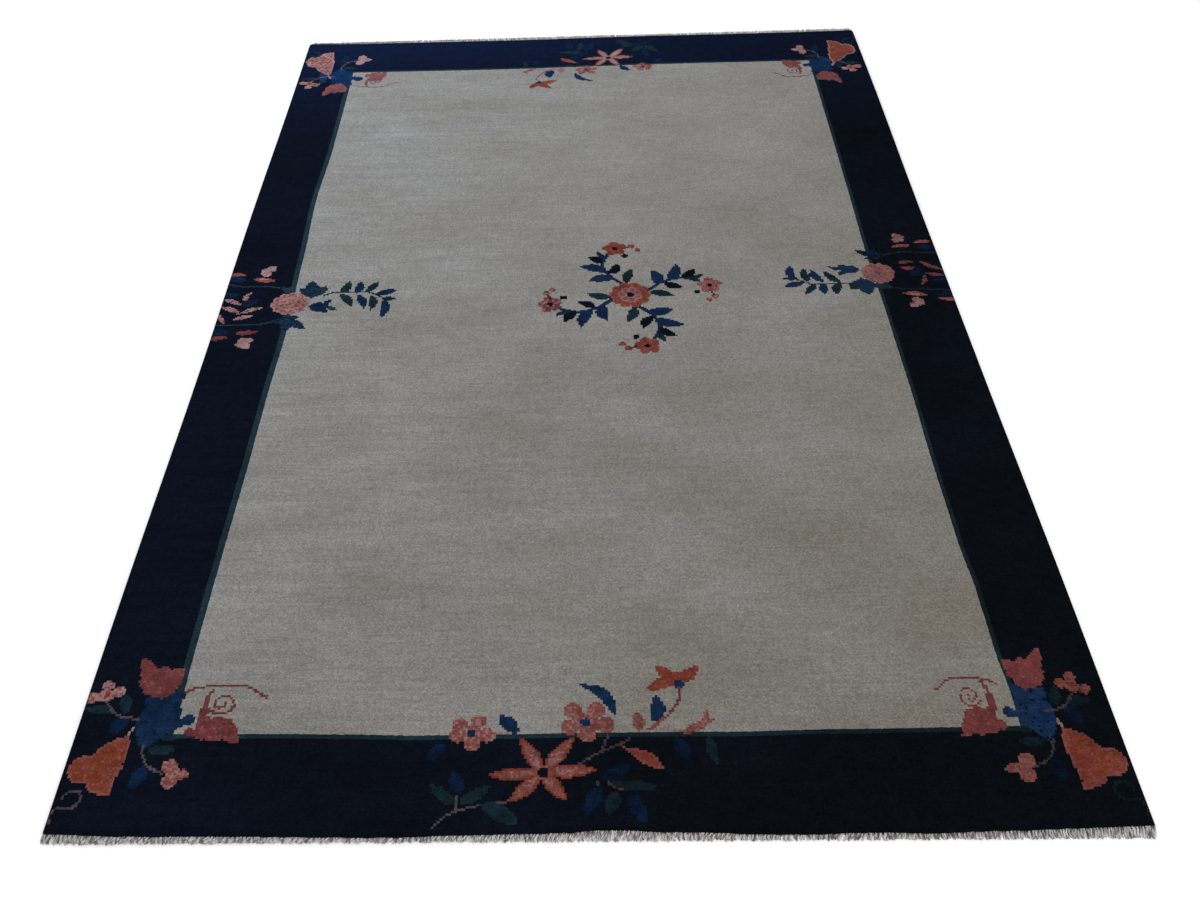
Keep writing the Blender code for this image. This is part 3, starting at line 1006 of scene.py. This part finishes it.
def make_overcasting(material):
    """Wool wrapped round both side edges, stitch beside stitch."""
    rings = int(RUG_LENGTH / KNOT) * RINGS_PER_STITCH
    y = np.linspace(-OVERCAST_REACH, OVERCAST_REACH, rings) * RUG_LENGTH
    swell = np.sin(2 * math.pi * np.arange(rings) / RINGS_PER_STITCH + 0.5)
    radius = (OVERCAST_RADIUS + STITCH_SWELL * swell)[:, None]
    angles = 2 * math.pi * np.arange(OVERCAST_SIDES)[None, :] / OVERCAST_SIDES
    points, faces = [], []
    for number, side in enumerate((-1, 1)):
        edge_x, world_y = outline.place(np.full(rings, side * RUG_WIDTH / 2), y)
        x = edge_x[:, None] + radius * np.cos(angles) - side * OVERCAST_INSET
        slant = STITCH_SLANT * np.sin(angles) + world_y[:, None]
        z = OVERCAST_HEIGHT + radius * np.sin(angles)
        points.append(np.stack([x, slant, z], axis=2).reshape(-1, 3))
        faces += tube_faces(rings, OVERCAST_SIDES, offset=number * rings * OVERCAST_SIDES)
    return add_piece("overcasting", np.concatenate(points), faces, material)


def tube_faces(rings, sides, offset=0):
    """Faces of a capped tube whose points run ring by ring."""
    index = offset + np.arange(rings * sides).reshape(rings, sides)
    turned = np.roll(index, -1, axis=1)
    quads = np.stack([index[:-1], turned[:-1], turned[1:], index[1:]], axis=2).reshape(-1, 4)
    return [*quads.tolist(), index[0, ::-1].tolist(), index[-1].tolist()]


# The fringes

def fringe_lines(end):
    """The direction out of the rug, and the line that the CAD strands are cut to: its slope and start."""
    points = np.array([vert.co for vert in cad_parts[f"fringe_{end}"].data.vertices])
    outward = -1.0 if end == "near" else 1.0
    reach = (points[:, 1] - outline.at(end, points[:, 0])) * outward
    tips = points[reach > TIP_REACH]
    slope, start = np.polyfit(tips[:, 0], tips[:, 1] * outward, 1)
    return outward, slope, start


def strand_paths(end, count, dice):
    """Centre lines of all strands of one fringe, root to tip, resting on the floor or on each other."""
    outward, slope, start = fringe_lines(end)
    pitch = RUG_WIDTH / count
    root_x = (np.arange(count) + 0.5) * pitch - RUG_WIDTH / 2 + dice.uniform(-0.3, 0.3, count) * pitch
    root_y = outline.at(end, root_x) + outward * FIT_GAP
    tip_y = outward * ((start + slope * root_x) + dice.uniform(-CUT_JITTER, CUT_JITTER, count))
    share = np.linspace(0.0, 1.0, STRAND_RINGS[end])[None, :]
    clump = slow_noise(dice, root_x, CLUMP_WIDTH)
    lean = SWEEP_GAIN * eased(SWEEP, "across", end, root_x) + CLUMP_LEAN * clump
    lean = lean + dice.normal(0.0, LEAN_SPREAD, count)
    limit = RUG_WIDTH / 2 - SIDE_CLEARANCE
    lean = np.clip(root_x + lean, -limit, limit) - root_x
    curl = (dice.normal(*CURL, count) - CLUMP_CURL * clump)[:, None] * np.sin(math.pi * share)
    wave = dice.uniform(0.0, WAVE, count)[:, None] * np.sin(share * dice.uniform(4, 9, count)[:, None])
    x = root_x[:, None] + lean[:, None] * share ** 1.3 + curl + wave
    y = root_y[:, None] + (tip_y - root_y)[:, None] * share
    # every other strand lies over its neighbours
    over = np.where(np.arange(count) % 2 == 0, 0.0, dice.uniform(*OVER, count))[:, None]
    rise = np.sin(math.pi * np.clip(share * 0.9 + 0.1, 0.0, 1.0)) ** 0.6
    z = 1.15 * STRAND_RADIUS + over * rise + ROOT_RISE * np.exp(-share * 6.0)
    return np.stack([x, y, z * np.ones_like(x)], axis=2)


def twisted_strands(paths, radius, sides, dice):
    """Two-ply twisted strands about many centre lines: points and faces."""
    count, rings, _ = paths.shape
    along = np.gradient(paths, axis=1)
    along = along / np.linalg.norm(along, axis=2, keepdims=True)
    across = np.cross(along, np.array([0.0, 0.0, 1.0]))
    across = across / np.linalg.norm(across, axis=2, keepdims=True)
    up = np.cross(across, along)
    steps = np.linalg.norm(np.diff(paths, axis=1), axis=2)
    run = np.concatenate([np.zeros((count, 1)), np.cumsum(steps, axis=1)], axis=1)
    turn = math.pi * run / TWIST_LENGTH + dice.uniform(0, math.pi, count)[:, None]
    angles = 2 * math.pi * np.arange(sides) / sides
    lobes = 0.80 + 0.28 * np.abs(np.cos(angles[None, None, :] - turn[:, :, None]))
    trim = 1.0 - 0.4 * np.linspace(0.0, 1.0, rings) ** 8
    size = radius * dice.uniform(0.85, 1.15, count)[:, None, None] * lobes * trim[None, :, None]
    ring = across[:, :, None, :] * np.cos(angles)[None, None, :, None]
    ring = ring + up[:, :, None, :] * np.sin(angles)[None, None, :, None]
    points = paths[:, :, None, :] + ring * size[:, :, :, None]
    points[..., 2] = np.maximum(points[..., 2], ABOVE_FLOOR)
    faces = []
    for strand in range(count):
        faces.extend(tube_faces(rings, sides, offset=strand * rings * sides))
    return points.reshape(-1, 3), faces


def make_web(end, material):
    """The narrow flat-woven strip that the strands leave: warps side by side, as small ribs, in a darker
    cotton that is painted shade where it shows between the strands' roots.
    """
    outward, _, _ = fringe_lines(end)
    x = np.linspace(-RUG_WIDTH / 2, RUG_WIDTH / 2, WEB_RINGS)
    rib = 0.5 + 0.5 * np.cos(2 * math.pi * np.arange(WEB_RINGS) / 4)
    points = []
    for depth, height, rib_height in WEB_PROFILE:
        y = outline.at(end, x) + outward * (FIT_GAP + depth)
        points.append(np.stack([x, y, height + rib_height * rib], axis=1))
    points = np.stack(points, axis=1)
    if outward > 0:
        points = points[:, ::-1]
    return add_piece(f"web_{end}", points.reshape(-1, 3), tube_faces(WEB_RINGS, len(WEB_PROFILE)), material)


def make_fringe(end, cotton, weave):
    """One fringe: its strands, which stand for the fringe's solid, and the strip at their roots."""
    dice = np.random.default_rng(SEEDS[end])
    paths = strand_paths(end, STRANDS, dice)
    points, faces = twisted_strands(paths, STRAND_RADIUS, STRAND_SIDES, dice)
    strands = add_piece(f"strands_{end}", points, faces, cotton)
    web = make_web(end, weave)
    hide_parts(f"fringe_{end}")
    return [strands, web]


# Floor, light and camera

def make_floor():
    bpy.ops.mesh.primitive_plane_add(size=30.0, location=(0.0, 0.0, 0.0))
    floor = bpy.context.object
    floor.name = "floor"
    graph = Graph("floor")
    graph.shader.inputs["Base Color"].default_value = (0.94, 0.94, 0.94, 1.0)
    graph.surface(0.9, 0.1)
    floor.data.materials.append(graph.material)


def add_area_light(name, place, size, power, colour):
    light = bpy.data.lights.new(name, "AREA")
    light.shape = "DISK"
    light.size = size
    light.energy = power
    light.color = colour
    lamp = bpy.data.objects.new(name, light)
    bpy.context.scene.collection.objects.link(lamp)
    lamp.location = place
    to_rug = -lamp.location.normalized()
    lamp.rotation_euler = to_rug.to_track_quat("-Z", "Y").to_euler()


def make_light():
    world = bpy.data.worlds.new("studio")
    bpy.context.scene.world = world
    world.use_nodes = True
    background = world.node_tree.nodes["Background"]
    background.inputs["Color"].default_value = (1.0, 1.0, 1.0, 1.0)
    background.inputs["Strength"].default_value = SKY_STRENGTH
    for name, lamp in LAMPS.items():
        add_area_light(name, **lamp)


def make_camera():
    data = bpy.data.cameras.new("camera")
    data.sensor_width = 36.0
    data.sensor_fit = "HORIZONTAL"
    data.lens = CAMERA_LENS
    data.shift_x, data.shift_y = CAMERA_SHIFT
    camera = bpy.data.objects.new("camera", data)
    bpy.context.scene.collection.objects.link(camera)
    camera.location = CAMERA_PLACE
    turn = Euler((math.pi / 2 - CAMERA_PITCH, 0.0, -CAMERA_YAW), "XYZ")
    turn.rotate_axis("Z", CAMERA_ROLL)
    camera.rotation_euler = turn
    bpy.context.scene.camera = camera


def main():
    wools = {name: make_wool(name, *look) for name, look in YARNS.items()}
    cotton = make_cotton("cotton", **COTTON)
    # the web's darker cotton is painted shade between the strands
    weave = make_cotton("cotton_weave_painted_shade", **WEB_SHADE_COTTON)
    chart = draw_chart()
    pile = make_pile(chart, wools)
    foundation = make_foundation(wools["navy"])
    overcasting = make_overcasting(wools["navy"])
    fringe = make_fringe("near", cotton, weave) + make_fringe("far", cotton, weave)
    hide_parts("rug")
    bpy.context.scene.view_settings.view_transform = "Standard"


make_floor()
make_light()
make_camera()
main()
